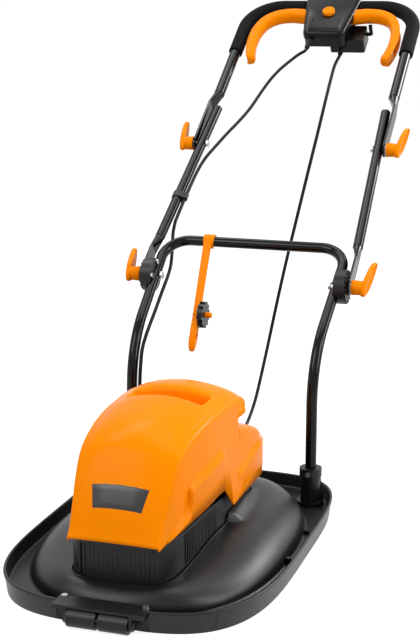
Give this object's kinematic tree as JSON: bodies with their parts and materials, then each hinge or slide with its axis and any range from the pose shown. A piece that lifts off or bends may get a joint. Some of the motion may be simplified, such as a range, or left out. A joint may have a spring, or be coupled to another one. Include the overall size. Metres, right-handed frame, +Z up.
{
  "type": "electric hover mower",
  "caption": "Electric hover mower: oval hood with spinning blade and impeller, crowned motor cover with carry handle, front rollers and a folding tube handle with switch box.",
  "frame": {"origin": "on the ground, under the middle of the mower's length and width, handle unfolded as in the picture", "axes": "+X to the left of a user who stands behind the handle and faces the front, +Y from the front roller back to the handle, +Z up"},
  "size_m": [0.4648, 1.3751, 0.8487],
  "materials": {
    "black_moulding": "fine-grained black polypropylene",
    "orange_moulding": "glossy orange moulding",
    "badge_grey": "bare dark grey plate",
    "zinc_steel": "bright zinc plating",
    "cast_alloy": "as-cast",
    "motor_steel": "stacked sheet and ground shaft steel",
    "copper": "copper and brass",
    "black_tube": "gloss black powder coat",
    "black_rubber": "smooth black sheath",
    "black_foam": "closed-cell foam sleeve",
    "blade_steel": "ground edges"
  },
  "bodies": {
    "deck": {"deck_hood": "black_moulding", "motor_cover": "orange_moulding", "badge_plate": "badge_grey", "deck_screws": "zinc_steel", "motor_base": "cast_alloy", "stator": "motor_steel", "field_windings": "copper", "motor_end_plate": "cast_alloy", "motor_bearings": "zinc_steel", "brush_holders": "copper", "handle_sockets": "black_moulding", "roller_carrier": "black_moulding", "roller_axle": "zinc_steel", "lower_handle": "black_tube", "ratchet_blocks": "black_moulding", "ratchet_screws": "zinc_steel", "lower_bolts": "zinc_steel", "lower_washers": "zinc_steel", "lead_grommet": "black_rubber", "motor_lead_lower": "black_rubber", "mains_lead": "black_rubber", "mains_coil": "black_rubber", "coil_tie": "black_rubber", "mains_plug": "black_moulding"},
    "rotor": {"armature": "motor_steel", "commutator": "copper", "motor_shaft": "motor_steel", "hover_impeller": "black_moulding", "blade_spacer": "black_moulding", "cutting_blade": "blade_steel", "blade_bolt": "zinc_steel"},
    "front_roller_left": {"roller_left": "black_moulding"},
    "front_roller_right": {"roller_right": "black_moulding"},
    "middle_handle": {"middle_tube_left": "black_tube", "middle_tube_right": "black_tube", "tube_caps": "black_moulding", "lead_clip": "black_moulding", "motor_lead_middle": "black_rubber", "upper_bolts": "zinc_steel", "upper_washers": "zinc_steel"},
    "upper_handle": {"handlebar": "black_tube", "grip_left": "black_foam", "grip_right": "black_foam", "switch_box": "black_moulding", "switch_box_back": "black_moulding", "box_screws": "zinc_steel", "trigger_switch": "black_moulding", "inlet_block": "black_moulding", "mains_gland": "black_rubber", "motor_lead_gland": "black_rubber", "motor_lead_upper": "black_rubber"},
    "lever_left": {"trigger_left": "orange_moulding"},
    "lever_right": {"trigger_right": "orange_moulding"},
    "safety_button": {"lock_button": "orange_moulding"},
    "clamp_lower_left": {"knob_lower_left": "orange_moulding"},
    "clamp_lower_right": {"knob_lower_right": "orange_moulding"},
    "clamp_upper_left": {"knob_upper_left": "orange_moulding"},
    "clamp_upper_right": {"knob_upper_right": "orange_moulding"},
    "spanner": {"blade_spanner": "orange_moulding"},
    "height_spacer": {"spare_spacer": "black_moulding"}
  },
  "joints": [
    {"name": "rotor_spin", "type": "hinge", "parent": "deck", "child": "rotor", "pos_m": [0, -0.35187, 0.022], "axis": [0, 0, 1], "continuous": true},
    {"name": "roller_left_spin", "type": "hinge", "parent": "deck", "child": "front_roller_left", "pos_m": [0, -0.67417, 0.014], "axis": [1, 0, 0], "continuous": true},
    {"name": "roller_right_spin", "type": "hinge", "parent": "deck", "child": "front_roller_right", "pos_m": [0, -0.67417, 0.014], "axis": [1, 0, 0], "continuous": true},
    {"name": "handle_fold", "type": "hinge", "parent": "deck", "child": "middle_handle", "pos_m": [0, 0.01235, 0.3603], "axis": [1, 0, 0], "range_deg": [-15, 120], "deforming": ["mains_lead", "motor_lead_lower"]},
    {"name": "upper_fold", "type": "hinge", "parent": "middle_handle", "child": "upper_handle", "pos_m": [0, 0.3038, 0.56819], "axis": [1, 0, 0], "range_deg": [-120, 0], "deforming": ["mains_lead", "motor_lead_upper"]},
    {"name": "lever_left_squeeze", "type": "hinge", "parent": "upper_handle", "child": "lever_left", "pos_m": [-0.044, 0.63515, 0.80454], "axis": [0, 0.5807, -0.8141], "range_deg": [0, 2.5], "stiffness_Nm_per_rad": 12, "springref_deg": -1.72},
    {"name": "lever_right_squeeze", "type": "hinge", "parent": "upper_handle", "child": "lever_right", "pos_m": [0.044, 0.63515, 0.80454], "axis": [0, -0.5807, 0.8141], "range_deg": [0, 2.5], "stiffness_Nm_per_rad": 12, "springref_deg": -1.72},
    {"name": "lock_button_push", "type": "slide", "parent": "upper_handle", "child": "safety_button", "axis": [0, 0.5807, -0.8141], "range_m": [0, 0.004], "stiffness_N_per_m": 900, "springref_m": -0.002},
    {"name": "spanner_swing", "type": "hinge", "parent": "deck", "child": "spanner", "pos_m": [0, 0.08643, 0.41314], "axis": [1, 0, 0], "range_deg": [-20, 60]},
    {"name": "spacer_slide", "type": "slide", "parent": "spanner", "child": "height_spacer", "axis": [1, 0, 0], "range_m": [0, 0.012]},
    {"name": "knob_lower_left_turn", "type": "hinge", "parent": "deck", "child": "clamp_lower_left", "pos_m": [0, 0.01235, 0.3603], "axis": [1, 0, 0], "continuous": true},
    {"name": "knob_lower_right_turn", "type": "hinge", "parent": "deck", "child": "clamp_lower_right", "pos_m": [0, 0.01235, 0.3603], "axis": [1, 0, 0], "continuous": true},
    {"name": "knob_upper_left_turn", "type": "hinge", "parent": "middle_handle", "child": "clamp_upper_left", "pos_m": [0, 0.3038, 0.56819], "axis": [1, 0, 0], "continuous": true},
    {"name": "knob_upper_right_turn", "type": "hinge", "parent": "middle_handle", "child": "clamp_upper_right", "pos_m": [0, 0.3038, 0.56819], "axis": [1, 0, 0], "continuous": true}
  ]
}
